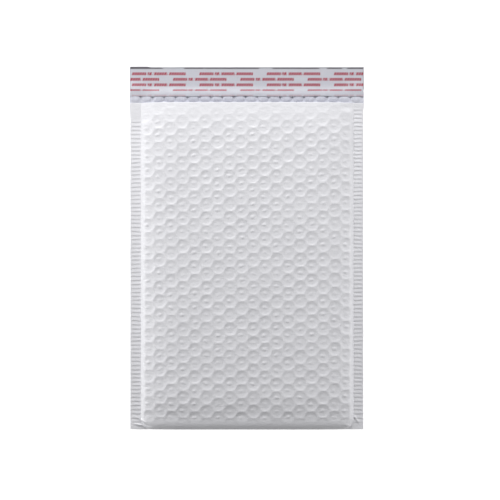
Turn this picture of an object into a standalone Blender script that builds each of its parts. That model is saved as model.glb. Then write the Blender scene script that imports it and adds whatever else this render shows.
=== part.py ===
"""Padded envelope: film web, bubble lining, glue band and release liner, lying on its back panel.

Metres, +Z up, +Y towards the flap. The origin is under the middle of the whole envelope.
"""
import math

import bmesh
import bpy

# Outline, as the envelope lies with its flap open
BODY_WIDTH = 0.217
BODY_HEIGHT = 0.3035
FLAP_OVERHANG = 0.00075
FLAP_HEIGHT = 0.0350
LINING_REACH = 0.0110

# Side seals, pressed to cross ribs
SEAL_WIDTH = 0.0099
SEAL_HEIGHT = 0.0022
SEAL_THICKNESS = 0.0008
SEAL_OVERLAP = 0.0012
RIB_PITCH = 0.0038
RIB_HEIGHT = 0.0004
RIB_STOP = 0.0030
RIB_MARGIN = 0.0007

# Honeycomb of dishes pulled into the film over the bubbles
BUBBLE_COLUMN = 0.0109
BUBBLE_PITCH = 0.0129
DISH_DEPTH = 0.0012
FIRST_DISH = 0.00445
ROW_SHIFT = 0.25

# Walls, from the film's dishes to the pocket
FILM = 0.00035
LINING = 0.0015
CLEARANCE = 0.0003
POCKET_GAP = 0.0050
CROWN = 0.0010

# Rounded edges of the body
FOLD_ROUND = 0.0055
FOLD_HEIGHT = 0.0050
FRONT_SHOULDER = 0.0140
BACK_SHOULDER = 0.0100
SHOULDER_POWER = 2.5
RIDGE = 0.0022

# Bubbles of the lining that show past the mouth
DOME_WIDTH = 0.0088
DOME_LENGTH = 0.0072
DOME_HEIGHT = 0.0011
DOME_STAGGER = 0.0012
DOME_ROOT = 0.0002
DOME_SIDES = 8

# Glue band and release liner on the flap
FLAP_FILM = 0.0004
GLUE = 0.0003
GLUE_BAND = 0.0180
GLUE_SIDE_MARGIN = 0.0060
LINER = 0.0003
LINER_SIDE_MARGIN = 0.0008
LINER_TOP_MARGIN = 0.0012
LINER_OVER_LINING = 0.0042
LINER_RAMP = 0.0060
FADE_LENGTH = 0.0120

# Worked out from the sizes above
FLAP_WIDTH = BODY_WIDTH + 2 * FLAP_OVERHANG
TOTAL = BODY_HEIGHT + FLAP_HEIGHT
FOLD_Y = -TOTAL / 2
MOUTH = BODY_HEIGHT
LIP = BODY_HEIGHT + LINING_REACH
HALF = BODY_WIDTH / 2 - SEAL_WIDTH
FILM_WALL = DISH_DEPTH + FILM
LINING_OUT = FILM_WALL + CLEARANCE
LINING_IN = LINING_OUT + LINING
FRONT_HEIGHT = 2 * LINING_IN + POCKET_GAP
PAST_END = 0.02
FLAT_ANGLE = math.radians(0.05)

OBJECTS = bpy.data.collections.new("padded_envelope")
CUTTERS = bpy.data.collections.new("cutters")


def clear_scene():
    """Remove what the opened file holds."""
    for item in list(bpy.data.objects):
        bpy.data.objects.remove(item, do_unlink=True)


def share(value, limit):
    """How far value has come towards limit, from 0 to 1."""
    return min(max(value / limit, 0.0), 1.0)


def shoulder(value, length):
    """Height share of a pillow's side at a distance from its edge."""
    return 1 - (1 - share(value, length)) ** SHOULDER_POWER


def fold_rise(value, radius):
    """Height share of the folded end, a quarter round."""
    return math.sqrt(1 - (1 - share(value, radius)) ** 2)


def side_inset(depth):
    """How far inside the side seal's edge a layer at this depth ends."""
    return depth + (SEAL_OVERLAP - DISH_DEPTH + CLEARANCE if depth else 0)


def edge_height(x):
    """Height at which front and back meet, along the seals and the fold."""
    return SEAL_HEIGHT + (FOLD_HEIGHT - SEAL_HEIGHT) * shoulder(HALF - abs(x), FRONT_SHOULDER)


def front_height(x, v, depth):
    """Height of the front at x and a distance v from the fold, in the layer at a depth."""
    inset = side_inset(depth)
    side = shoulder(HALF - inset - abs(x), FRONT_SHOULDER - inset)
    end = fold_rise(v - depth, FOLD_ROUND - depth)
    crown = CROWN * (1 - (x / HALF) ** 2) * (1 - (2 * v / MOUTH - 1) ** 2)
    edge = edge_height(x)
    return edge + (FRONT_HEIGHT + crown - depth - edge) * side * end


def back_height(x, v, depth):
    """Height of the back panel in the layer at a depth."""
    inset = side_inset(depth)
    side = shoulder(HALF - inset - abs(x), BACK_SHOULDER - inset)
    end = fold_rise(v - depth, FOLD_ROUND - depth)
    edge = edge_height(x)
    return edge + (depth - edge) * side * end


def web_lift(x, v):
    """Height of the flap's film, which the seals hold up beside the mouth."""
    side = shoulder(HALF - abs(x), BACK_SHOULDER)
    fade = 1 - share(v - LIP, FADE_LENGTH)
    return (SEAL_HEIGHT - FLAP_FILM / 2) * (1 - side) * fade


def new_object(name, bm, collection=OBJECTS):
    """Turn a bmesh into a named object in a collection."""
    mesh = bpy.data.meshes.new(name)
    bm.to_mesh(mesh)
    bm.free()
    item = bpy.data.objects.new(name, mesh)
    collection.objects.link(item)
    if collection is CUTTERS:
        item.hide_render = True
        item.display_type = "WIRE"
    return item


def grid_points(bm, columns, rows):
    """Add a grid and return each of its points with its column and row numbers."""
    made = bmesh.ops.create_grid(bm, x_segments=columns, y_segments=rows, size=0.5)
    places = []
    for vert in made["verts"]:
        column = round((vert.co.x + 0.5) * columns)
        row = round((vert.co.y + 0.5) * rows)
        places.append((vert, column, row))
    return places


def faces_of(places):
    """The faces that the points of a grid carry."""
    return list({face for vert, _, _ in places for face in vert.link_faces})


def close_pillow(bm, back):
    """Join front and back at their shared edge and close the end."""
    bmesh.ops.reverse_faces(bm, faces=faces_of(back))
    bmesh.ops.remove_doubles(bm, verts=bm.verts, dist=1e-6)
    open_edges = [edge for edge in bm.edges if edge.is_boundary]
    bmesh.ops.holes_fill(bm, edges=open_edges, sides=0)
    bmesh.ops.recalc_face_normals(bm, faces=bm.faces)


def dished_pillow():
    """Outer form of the body, its film pulled into a dish over each bubble.

    Alternate rows of a grid are shifted, so that its points are the middles and corners of a honeycomb.
    """
    dished = HALF - RIDGE
    steps = 3 * round(dished / BUBBLE_COLUMN)
    rows = round((LIP - FIRST_DISH) / (BUBBLE_PITCH / 2)) + 2
    step = 2 * dished / steps
    row_step = (LIP - FIRST_DISH) / (rows - 2)
    bm = bmesh.new()
    for height, dish in ((front_height, -DISH_DEPTH), (back_height, DISH_DEPTH)):
        places = grid_points(bm, steps + 2, rows)
        for vert, column, row in places:
            number = column - 1
            inner = 0 < number < steps
            shift = (ROW_SHIFT if row % 2 else -ROW_SHIFT) if inner else 0
            x = -dished + (number + shift) * step
            if column in (0, steps + 2):
                x = math.copysign(HALF, x)
            v = FIRST_DISH + (row - 2) * row_step
            if row < 2:
                v = row * FOLD_ROUND / 4
            z = height(x, v, 0)
            centre = number % 3 == (2 if row % 2 else 1)
            if centre and inner and 2 <= row < rows:
                z += dish * share(v, 2 * FIRST_DISH)
            vert.co = (x, FOLD_Y + v, z)
        bmesh.ops.triangulate(bm, faces=faces_of(places), quad_method="SHORT_EDGE")
    close_pillow(bm, places)
    return bm


def plain_pillow(depth, end):
    """Form of a layer inside the film, with points where its rounded edges need them."""
    inset = side_inset(depth)
    turn = (0, 0.12, 0.3, 0.6, 1)
    reach = FRONT_SHOULDER - inset
    left = [-HALF + inset + reach * part for part in turn]
    middle = [left[-1] * part for part in (0.5, 0)]
    xs = left + middle
    xs += [-x for x in reversed(xs[:-1])]
    vs = [depth + (FOLD_ROUND - depth) * part for part in (0, 0.06, 0.25, 0.6, 1)]
    vs += [FOLD_ROUND + (MOUTH - FOLD_ROUND) * part for part in (0.2, 0.4, 0.6, 0.8, 1)]
    vs.append(end)
    bm = bmesh.new()
    for height in (front_height, back_height):
        places = grid_points(bm, len(xs) - 1, len(vs) - 1)
        for vert, column, row in places:
            v = vs[row]
            vert.co = (xs[column], FOLD_Y + v, height(xs[column], min(v, MOUTH), depth))
    close_pillow(bm, places)
    return bm


def sheet(name, xs, vs, bottom, thickness, collection, relief=None):
    """Thin slab over a grid of stations: bottom gives its lower face, relief what the top adds."""
    bm = bmesh.new()
    places = grid_points(bm, len(xs) - 1, len(vs) - 1)
    for vert, column, row in places:
        x = xs[column]
        v = vs[row]
        vert.co = (x, FOLD_Y + v, bottom(x, v))
    made = bmesh.ops.extrude_face_region(bm, geom=bm.faces[:])
    top = [item for item in made["geom"] if isinstance(item, bmesh.types.BMVert)]
    bmesh.ops.translate(bm, verts=top, vec=(0, 0, thickness))
    for vert in top:
        vert.co.z += relief(vert.co.x, vert.co.y - FOLD_Y) if relief else 0
    bmesh.ops.recalc_face_normals(bm, faces=bm.faces)
    bmesh.ops.dissolve_limit(bm, angle_limit=FLAT_ANGLE, verts=bm.verts, edges=bm.edges)
    return new_object(name, bm, collection)


def box(name, low, high):
    """Cutter box between two corners."""
    bm = bmesh.new()
    bmesh.ops.create_cube(bm, size=1)
    size = [high[axis] - low[axis] for axis in range(3)]
    middle = [(high[axis] + low[axis]) / 2 for axis in range(3)]
    bmesh.ops.scale(bm, verts=bm.verts, vec=size)
    bmesh.ops.translate(bm, verts=bm.verts, vec=middle)
    return new_object(name, bm, CUTTERS)


def boolean(item, other, operation):
    """Join or cut an object with another one."""
    modifier = item.modifiers.new(other.name, "BOOLEAN")
    modifier.operation = operation
    modifier.solver = "EXACT"
    modifier.object = other


def mouth_box(name, floor):
    """Cutter that ends the front at the mouth and leaves the back below a floor."""
    low = (-BODY_WIDTH, FOLD_Y + MOUTH, floor)
    high = (BODY_WIDTH, FOLD_Y + TOTAL + PAST_END, 2 * FRONT_HEIGHT)
    return box(name, low, high)


def side_seal(side):
    """One ribbed heat seal, its inner edge held in the body."""
    ribs = round((MOUTH - RIB_STOP) / RIB_PITCH)
    rib_step = (MOUTH - RIB_STOP) / (2 * ribs)
    vs = [rib_step * row for row in range(2 * ribs + 1)]
    vs.append(LIP - SEAL_OVERLAP)
    start = HALF + RIB_MARGIN
    xs = sorted(side * x for x in (HALF - SEAL_OVERLAP, start, start + RIB_HEIGHT, BODY_WIDTH / 2))
    floor = SEAL_HEIGHT - SEAL_THICKNESS / 2

    def rib(x, v):
        row = round(v / rib_step)
        return RIB_HEIGHT if row % 2 and row < 2 * ribs and abs(x) > start + RIB_HEIGHT / 2 else 0

    name = "seal_right" if side > 0 else "seal_left"
    return sheet(name, xs, vs, lambda x, v: floor, SEAL_THICKNESS, CUTTERS, rib)


def flap_stations(half_width):
    """Points across the flap: plain middle, then the rise to the seals."""
    rise = [HALF - BACK_SHOULDER * part for part in (0, 0.3, 0.6, 1)]
    right = [half_width] + rise
    return [-x for x in right] + [0] + right[::-1]


def flap():
    """The film alone, past the lining's end."""
    vs = [LIP - RIB_STOP, LIP, LIP + FADE_LENGTH / 2, LIP + FADE_LENGTH, TOTAL]
    xs = flap_stations(FLAP_WIDTH / 2)
    return sheet("flap", xs, vs, web_lift, FLAP_FILM, CUTTERS)


def outer_film():
    """Front, fold, back, flap and seals: one web of film."""
    item = new_object("outer_film", dished_pillow())
    for side in (-1, 1):
        boolean(item, side_seal(side), "UNION")
    boolean(item, flap(), "UNION")
    room = new_object("film_inside", plain_pillow(FILM_WALL, LIP + PAST_END), CUTTERS)
    boolean(item, room, "DIFFERENCE")
    boolean(item, mouth_box("film_mouth", SEAL_HEIGHT + SEAL_THICKNESS), "DIFFERENCE")
    return item


def dome(number, x, v):
    """One bubble of the lining's free end."""
    bm = bmesh.new()
    bmesh.ops.create_uvsphere(bm, u_segments=DOME_SIDES, v_segments=DOME_SIDES // 2, radius=1)
    bmesh.ops.scale(bm, verts=bm.verts, vec=(DOME_WIDTH / 2, DOME_LENGTH / 2, DOME_HEIGHT))
    bmesh.ops.bisect_plane(bm, geom=bm.verts[:] + bm.edges[:] + bm.faces[:], clear_inner=True,
                           plane_co=(0, 0, -DOME_ROOT), plane_no=(0, 0, 1))
    bmesh.ops.holes_fill(bm, edges=bm.edges, sides=0)
    bmesh.ops.translate(bm, verts=bm.verts, vec=(x, FOLD_Y + v, LINING_IN - DOME_HEIGHT))
    return new_object(f"bubble_{number}", bm, CUTTERS)


def bubble_lining():
    """Bubble web inside the film, its back reaching past the mouth."""
    item = new_object("bubble_lining", plain_pillow(LINING_OUT, LIP))
    room = new_object("pocket", plain_pillow(LINING_IN, LIP + PAST_END), CUTTERS)
    boolean(item, room, "DIFFERENCE")
    boolean(item, mouth_box("lining_mouth", LINING_IN - DOME_HEIGHT), "DIFFERENCE")
    reach = HALF - side_inset(LINING_IN) - BACK_SHOULDER
    count = int(2 * reach / BUBBLE_COLUMN) + 1
    middle = (MOUTH + LIP) / 2
    for number in range(count):
        x = (number - (count - 1) / 2) * BUBBLE_COLUMN
        v = middle + (DOME_STAGGER if number % 2 else -DOME_STAGGER)
        boolean(item, dome(number, x, v), "UNION")
    return item


def adhesive_strip():
    """Band of glue on the flap."""
    top = TOTAL - LINER_TOP_MARGIN - CLEARANCE
    low = top - GLUE_BAND
    vs = [low, (low + LIP + FADE_LENGTH) / 2, LIP + FADE_LENGTH, top]
    xs = flap_stations(BODY_WIDTH / 2 - GLUE_SIDE_MARGIN)
    gap = FLAP_FILM + CLEARANCE
    return sheet("adhesive_strip", xs, vs, lambda x, v: web_lift(x, v) + gap, GLUE, OBJECTS)


def release_liner():
    """Peel-off strip over the glue, climbing onto the lining's end."""
    low_level = FLAP_FILM + GLUE + 2 * CLEARANCE
    high_level = LINING_IN + CLEARANCE
    foot = LIP + CLEARANCE

    def height(x, v):
        climb = 1 - share(v - foot, LINER_RAMP)
        smooth = climb * climb * (3 - 2 * climb)
        return max(web_lift(x, v) + low_level, low_level + (high_level - low_level) * smooth)

    ramp = [foot + LINER_RAMP * part for part in (0, 0.25, 0.5, 0.75, 1)]
    vs = [LIP - LINER_OVER_LINING] + ramp + [LIP + FADE_LENGTH, TOTAL - LINER_TOP_MARGIN]
    xs = flap_stations(FLAP_WIDTH / 2 - LINER_SIDE_MARGIN)
    return sheet("release_liner", xs, vs, height, LINER, OBJECTS)


def finish(item, colour, roughness, alpha=1.0):
    """Give a piece its material and flat shading."""
    material = bpy.data.materials.new(item.name)
    material.use_nodes = True
    shader = material.node_tree.nodes["Principled BSDF"]
    shader.inputs["Base Color"].default_value = (*colour, 1)
    shader.inputs["Roughness"].default_value = roughness
    shader.inputs["Metallic"].default_value = 0
    shader.inputs["Alpha"].default_value = alpha
    item.data.materials.append(material)


clear_scene()
bpy.context.scene.collection.children.link(OBJECTS)
bpy.context.scene.collection.children.link(CUTTERS)
finish(outer_film(), (0.80, 0.80, 0.82), 0.35)
finish(bubble_lining(), (0.66, 0.69, 0.74), 0.25)
finish(adhesive_strip(), (0.72, 0.70, 0.62), 0.30)
finish(release_liner(), (0.62, 0.67, 0.72), 0.25)
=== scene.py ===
# %% [markdown]
# # A padded envelope that lies open on a table
#
# The real object is one web of pearl white film, folded at the bottom and heat sealed at both sides,
# with a web of bubble film folded inside it. The film has sunk a little over every bubble, so the panel
# shows a honeycomb of round dishes. A band of glue runs along the flap, under a thin release liner with
# a red print. The CAD model gives the sizes and the place of everything, and this script gives each
# piece its real surface, its finish and its light.

import math

import bmesh
import bpy
import numpy as np
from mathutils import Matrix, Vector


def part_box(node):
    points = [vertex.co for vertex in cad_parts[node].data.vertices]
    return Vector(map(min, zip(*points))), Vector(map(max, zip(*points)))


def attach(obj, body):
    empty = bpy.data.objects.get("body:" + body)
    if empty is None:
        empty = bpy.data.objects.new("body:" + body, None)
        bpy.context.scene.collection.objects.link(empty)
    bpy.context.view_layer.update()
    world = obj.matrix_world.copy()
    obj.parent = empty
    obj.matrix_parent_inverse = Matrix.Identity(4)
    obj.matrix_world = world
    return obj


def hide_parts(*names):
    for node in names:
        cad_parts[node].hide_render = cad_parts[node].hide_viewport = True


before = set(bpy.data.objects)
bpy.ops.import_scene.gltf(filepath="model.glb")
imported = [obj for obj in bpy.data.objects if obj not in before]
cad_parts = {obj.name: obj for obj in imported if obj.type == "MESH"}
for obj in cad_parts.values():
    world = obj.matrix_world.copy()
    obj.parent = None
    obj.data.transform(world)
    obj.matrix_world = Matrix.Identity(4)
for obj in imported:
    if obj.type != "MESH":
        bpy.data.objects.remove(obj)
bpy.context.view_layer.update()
film_low, film_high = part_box("outer_film")
lining_low, lining_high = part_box("bubble_lining")
liner_low, liner_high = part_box("release_liner")
print("CAD nodes:", sorted(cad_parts))

# %% [markdown]
# ## Sizes
#
# The frame tells where the film, the lining and the liner start and end. It doesn't tell how wide a seal
# is or how the pillow rounds off, so the first two blocks go by the sizes of the CAD source. The third
# block is this scene's own: how the slack film rolls and droops, and where the ribs of each seal end. A
# distance along the envelope is measured from its fold, because the fold is the one straight edge that
# every layer shares.

# %% Driving sizes, in metres
FOLD_INSET = 0.0007
FOLD_Y = film_low.y + FOLD_INSET
TOP = film_high.y - FOLD_Y
LIP = lining_high.y - FOLD_Y
LINING_REACH = 0.0110
MOUTH = LIP - LINING_REACH
FLAP_HALF = film_high.x
BODY_HALF = 0.1085
SEAL_WIDTH = 0.0099
HALF = BODY_HALF - SEAL_WIDTH

SEAL_HEIGHT = 0.0022
FRONT_HEIGHT = 0.0117
CROWN = 0.0010
FOLD_ROUND = 0.0055
FOLD_HEIGHT = 0.0050
FRONT_SHOULDER = 0.0140
BACK_SHOULDER = 0.0100
LINING_OUT = 0.00185
LINING_IN = 0.00335

ROLL = 0.0056
ROLL_SHARE = 0.30
SLACK_TIMES = 2.4
SLACK_POWER = 2.0
LEFT_BULGE = 0.0000
RIGHT_BULGE = 0.0009
FOLD_DROOP = 0.0048
FOLD_DROOP_LENGTH = 0.0360
MOUTH_DROOP = 0.0022
CORNER_DROOP = 0.0010
MOUTH_DROOP_LENGTH = 0.0340
CORNER_SLACK = 0.0150
CORNER_WIDE = 0.0080
CORNER_LONG = 0.0120
LEFT_SEAL_END = 0.2881
RIGHT_SEAL_END = 0.2996
RIBS_FADE = 0.0015
ROLL_FADE = 0.0060
print("mouth and lip, mm from the fold:", round(1000 * MOUTH, 1), round(1000 * LIP, 1))

# %% [markdown]
# ## The camera
#
# The envelope was photographed from straight above. A long lens at more than a metre keeps its sides
# parallel. The camera comes early, because the honeycomb is placed by where its dishes are in the
# picture.

# %% Camera straight above
PICTURE = 500
MM_PER_PIXEL = 0.931
LENS = 100
SENSOR = 36
PICTURE_PLANE = 0.002
CLIP_END = 10
MIDDLE_X = 246.75
MIDDLE_Y = 248.1
CENTRE_X = (PICTURE / 2 - MIDDLE_X) * MM_PER_PIXEL / 1000
CENTRE_Y = (MIDDLE_Y - PICTURE / 2) * MM_PER_PIXEL / 1000
DISTANCE = PICTURE * MM_PER_PIXEL / 1000 * LENS / SENSOR

camera_data = bpy.data.cameras.new("camera")
camera_data.lens = LENS
camera_data.sensor_width = SENSOR
camera_data.clip_end = CLIP_END
camera = bpy.data.objects.new("camera", camera_data)
camera.location = (CENTRE_X, CENTRE_Y, PICTURE_PLANE + DISTANCE)
bpy.context.scene.collection.objects.link(camera)
bpy.context.scene.camera = camera


def place_of(pixel_x, pixel_y, height=FRONT_HEIGHT):
    """Place in metres of what the picture shows at a pixel, at a height above the floor."""
    step = MM_PER_PIXEL / 1000 * (DISTANCE + PICTURE_PLANE - height) / DISTANCE
    return CENTRE_X + (pixel_x - PICTURE / 2) * step, CENTRE_Y - (pixel_y - PICTURE / 2) * step


print("camera height, m:", round(camera.location.z, 3))

# %% [markdown]
# ## Helpers for surfaces
#
# Film and bubble web are sheets, so nearly every piece starts as a flat grid from `create_grid`, and a
# formula then moves all its points at once with numpy. That keeps the mesh even, and a dish, a rib or a
# crease is just one more term in the height. A thin piece is extruded first, so that it is closed.


# %% Grids that a formula shapes
WAVE_SPREAD = (0.7, 1.5)


def piece_from(name, bm):
    """Turn a bmesh into a smooth shaded piece that rides on the model."""
    mesh = bpy.data.meshes.new(name)
    bm.to_mesh(mesh)
    bm.free()
    piece = bpy.data.objects.new(name, mesh)
    bpy.context.scene.collection.objects.link(piece)
    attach(piece, "root")
    return piece


def points_of(mesh):
    """The points of a mesh as an array."""
    points = np.empty(len(mesh.vertices) * 3)
    mesh.vertices.foreach_get("co", points)
    return points.reshape(-1, 3)


def shape_sheet(name, columns, rows, place, thickness=0.0, downwards=False):
    """Sheet of columns by rows: place turns shares across and along into x, y, z of its upper face.

    With a thickness the sheet is closed, its lower face that far below the upper one.
    """
    bm = bmesh.new()
    bmesh.ops.create_grid(bm, x_segments=columns, y_segments=rows, size=0.5)
    if thickness:
        made = bmesh.ops.extrude_face_region(bm, geom=bm.faces[:])
        upper = [item for item in made["geom"] if isinstance(item, bmesh.types.BMVert)]
        bmesh.ops.translate(bm, verts=upper, vec=(0, 0, 1))
        bmesh.ops.recalc_face_normals(bm, faces=bm.faces)
    if downwards:
        bmesh.ops.reverse_faces(bm, faces=bm.faces)
    piece = piece_from(name, bm)
    points = points_of(piece.data)
    lower = thickness * (1 - np.round(points[:, 2])) if thickness else 0
    x, y, z = place(points[:, 0] + 0.5, points[:, 1] + 0.5)
    points = np.column_stack((x, y, z - lower))
    piece.data.vertices.foreach_set("co", points.ravel())
    piece.data.shade_smooth()
    piece.data.update()
    print(name, "has", len(piece.data.polygons), "faces")
    return piece


def ramp(value, start, end):
    """0 before start, 1 after end, and smooth between."""
    part = np.clip((value - start) / (end - start), 0, 1)
    return part * part * (3 - 2 * part)


def waves(x, y, length, seed, number=6):
    """Gentle uneven waves of about a length, from -1 to 1, the same for the same seed."""
    random = np.random.default_rng(seed)
    total = 0
    for _ in range(number):
        turn = random.uniform(0, 2 * math.pi)
        size = 2 * math.pi / (length * random.uniform(*WAVE_SPREAD))
        phase = random.uniform(0, 2 * math.pi)
        total = total + np.sin(size * (x * math.cos(turn) + y * math.sin(turn)) + phase)
    return total / number


# %% [markdown]
# ## The padded body
#
# Between the seals the envelope is a flat pillow: it rises quickly beside each seal, stays nearly
# level across, and turns round at the fold. The CAD solids are a fuller form of it, without the
# droops. `depth` counts inwards from the outer film, so one formula serves the film and the lining.


# %% Heights of the pillow
def rise(distance, length, unrolled=0.0):
    """Height share of the pillow's side at a distance from its edge: a tight roll, then a slack slope.

    Above the end of a seal the roll has opened.
    """
    roll = 1 - (1 - np.clip(distance / ROLL, 0, 1)) ** 2
    roll = roll + (ramp(distance, 0, CORNER_SLACK) - roll) * unrolled
    slack = 1 - (1 - np.clip(distance / (SLACK_TIMES * length), 0, 1)) ** SLACK_POWER
    return ROLL_SHARE * roll + (1 - ROLL_SHARE) * slack


def turn_round(v, depth):
    """Height share at the folded end, a quarter round."""
    return np.sqrt(1 - (1 - np.clip((v - depth) / (FOLD_ROUND - depth), 0, 1)) ** 2)


def edge_height(inwards):
    """Height at which front and back meet, a distance inwards from the seal."""
    return SEAL_HEIGHT + (FOLD_HEIGHT - SEAL_HEIGHT) * rise(inwards, FRONT_SHOULDER)


def droop(x, v):
    """How far the slack front lies lower towards the fold and towards the mouth and its corners."""
    fold = FOLD_DROOP * (1 - np.clip(v / FOLD_DROOP_LENGTH, 0, 1)) ** 2
    near_mouth = np.clip((v - MOUTH) / MOUTH_DROOP_LENGTH + 1, 0, 1)
    return fold + (MOUTH_DROOP + CORNER_DROOP * (x / HALF) ** 2) * near_mouth ** 2


def distance_in(x):
    """Distance inwards from the padding's nearer side edge."""
    return np.minimum(x + HALF + LEFT_BULGE, HALF + RIGHT_BULGE - x)


def inside_corner(inwards, v):
    """Distance inwards from the padding's edge, which runs round the bottom corners."""
    along = np.clip(1 - v / CORNER_LONG, 0, 1)
    return inwards - CORNER_WIDE * (1 - np.sqrt(1 - along ** 2))


def front_height(x, v, inwards, depth=0.0):
    """Height of the front, in the layer at a depth."""
    crown = CROWN * (1 - (x / HALF) ** 2) * (1 - (2 * v / MOUTH - 1) ** 2)
    edge = edge_height(inwards)
    end = np.where(x > 0, RIGHT_SEAL_END, LEFT_SEAL_END)
    side = rise(inwards - depth, FRONT_SHOULDER - depth, ramp(v, end - ROLL_FADE, end))
    return edge + (FRONT_HEIGHT + crown - droop(x, v) - depth - edge) * side * turn_round(v, depth)


def back_height(x, v, inwards, depth=0.0):
    """Height of the back, in the layer at a depth."""
    edge = edge_height(inwards)
    side = rise(inwards - depth, BACK_SHOULDER - depth)
    return edge + (depth - edge) * side * turn_round(v, depth)


# %% [markdown]
# ## The honeycomb
#
# The film is held up by the walls between the bubbles and has sunk over each bubble, whose own top still
# pushes up a small, uneven bump in the middle of the dish. No two dishes are alike, so depth, place,
# size and bump are drawn for each from a seeded generator. Each point of the sheet looks for its nearest
# dish and adds that dish's height: displacing a fine grid this way keeps every dish a real shape, not a
# picture of one.

# %% Dishes and their bumps
COLUMN_PIXELS = 11.70
PITCH_PIXELS = 13.86
FIRST_DISH = (264.5, 252.9)
COLUMN = COLUMN_PIXELS * MM_PER_PIXEL / 1000 * (DISTANCE + PICTURE_PLANE - FRONT_HEIGHT) / DISTANCE
PITCH = PITCH_PIXELS * MM_PER_PIXEL / 1000 * (DISTANCE + PICTURE_PLANE - FRONT_HEIGHT) / DISTANCE
FIRST_X, FIRST_Y = place_of(*FIRST_DISH)
SKEW_UNIT = 0.001
SKEW_WIDE = 0.1
SKEW_LONG = 0.15
SIDE_SKEW = (-0.6, 0.6, 0.35, -0.45, 0.65)
END_SKEW = (-0.7, -0.2, -0.8, -1.0, -0.9)
DISH_WIDE = 0.0060
DISH_LONG = 0.0062
DISH_DEPTH = 0.00071
UPPER_POWER = 3.4
LOWER_POWER = 7.0
BOWL_SHARE = 0.30
BUMP_HEIGHT = 0.00050
BUMP_WIDE = 0.0033
BUMP_LONG = 0.0021
BUMP_X = -0.0007
BUMP_Y = 0.0003
DISH_SHIFT = 0.00022
DEPTH_RANGE = (0.75, 1.2)
WIDE_RANGE = (0.94, 1.04)
LONG_RANGE = (0.96, 1.04)
BUMP_RANGE = (0.4, 1.4)
BUMP_TURN = 0.06
TURN_SPREAD = 0.25
BUMP_SHIFT = 0.0004
LOWER_FADE = 1.6
MANY = 64


def nearest_dish(x, y, first_x, first_y, shift_x, shift_y):
    """Column and row of the dish nearest to each point, and where the point is seen from its middle."""
    found = None
    for step in (-1, 0, 1):
        column = np.round((x - first_x) / COLUMN).astype(int) + step
        start = first_y - np.where(column % 2, PITCH / 2, 0)
        row = np.round((y - start) / PITCH).astype(int)
        across = x - first_x - column * COLUMN - shift_x[column % MANY, row % MANY]
        along = y - start - row * PITCH - shift_y[column % MANY, row % MANY]
        distance = np.hypot(across, along)
        if found is None:
            found = [distance, column, row, across, along]
            continue
        nearer = distance < found[0]
        for number, value in enumerate((distance, column, row, across, along)):
            found[number] = np.where(nearer, value, found[number])
    return found[1] % MANY, found[2] % MANY, found[3], found[4]


def unstretched(x, y):
    """Where a point of the web was before laminating pulled its rows and columns a little askew."""
    across = x / SKEW_WIDE
    along = y / SKEW_LONG
    bends = (across ** 2, across * along, along ** 2)
    side = sum(share * term for share, term in zip(SIDE_SKEW, (1, along, *bends)))
    end = sum(share * term for share, term in zip(END_SKEW, (across, along, *bends)))
    return x + SKEW_UNIT * side, y + SKEW_UNIT * end


def hump(distance):
    """1 in the middle, 0 from a distance of 1 on, and smooth between."""
    return 0.5 + 0.5 * np.cos(math.pi * np.clip(distance, 0, 1))


def honeycomb(x, y, seed, first_x=FIRST_X, first_y=FIRST_Y):
    """Height that the dishes add, at most a little above 0."""
    random = np.random.default_rng(seed)
    table = (MANY, MANY)
    shift_x = random.normal(0, DISH_SHIFT, table)
    shift_y = random.normal(0, DISH_SHIFT, table)
    column, row, across, along = nearest_dish(*unstretched(x, y), first_x, first_y, shift_x, shift_y)
    depth = random.uniform(*DEPTH_RANGE, table)[column, row]
    wide = random.uniform(*WIDE_RANGE, table)[column, row]
    long = random.uniform(*LONG_RANGE, table)[column, row]
    bump = random.uniform(*BUMP_RANGE, table)[column, row]
    turn = random.normal(BUMP_TURN, TURN_SPREAD, table)[column, row]
    off_x = random.normal(BUMP_X, BUMP_SHIFT, table)[column, row]
    off_y = random.normal(BUMP_Y, BUMP_SHIFT, table)[column, row]
    out = np.hypot(across / (DISH_WIDE * wide), along / (DISH_LONG * long))
    lower = 0.5 - 0.5 * np.clip(LOWER_FADE * along / DISH_LONG, -1, 1)
    reach = np.clip(out, 0, 1)
    bowl = BOWL_SHARE * lower * reach ** 2
    wall = (1 - BOWL_SHARE * lower) * reach ** (UPPER_POWER + (LOWER_POWER - UPPER_POWER) * lower)
    dish = 1 - bowl - wall
    near_x = (across - off_x) * np.cos(turn) + (along - off_y) * np.sin(turn)
    near_y = (along - off_y) * np.cos(turn) - (across - off_x) * np.sin(turn)
    middle = hump(np.hypot(near_x / BUMP_WIDE, near_y / BUMP_LONG))
    return BUMP_HEIGHT * bump * middle - DISH_DEPTH * depth * dish


# %% [markdown]
# ## Front and back panels
#
# Each panel is one fine grid between the seals. Its first rows are set closer round the fold, where the
# film turns through a quarter circle, and the line where the two panels meet runs round the bottom
# corners, where the seals hold the fold flat.

# %% Grid that the panels follow
FOLD_ROWS = 10
STEP_ACROSS = 0.00095
STEP_ALONG = 0.00063
PANEL_COLUMNS = round(2 * HALF / STEP_ACROSS)
PANEL_ROWS = FOLD_ROWS + round((MOUTH - FOLD_ROUND) / STEP_ALONG)


def along_fold(share_along, rows, end):
    """Distance from the fold for a share of the rows, closer together round the fold."""
    row = share_along * rows
    turning = FOLD_ROUND * (1 - np.cos(np.clip(row / FOLD_ROWS, 0, 1) * math.pi / 2))
    return turning + (end - FOLD_ROUND) * np.clip((row - FOLD_ROWS) / (rows - FOLD_ROWS), 0, 1)


def across_body(share_across, v):
    """Place across the body and the distance inwards from its nearer edge."""
    x = -HALF - LEFT_BULGE + (2 * HALF + LEFT_BULGE + RIGHT_BULGE) * share_across
    return x, inside_corner(distance_in(x), v)


# %% [markdown]
# The dishes are full in the middle of the panel. Towards the mouth the film is slack and they are
# faint, and beside the seals and the fold the film is pulled tight and shows none. Creases run into
# the two bottom corners, where the fold is caught in the seals.

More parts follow.
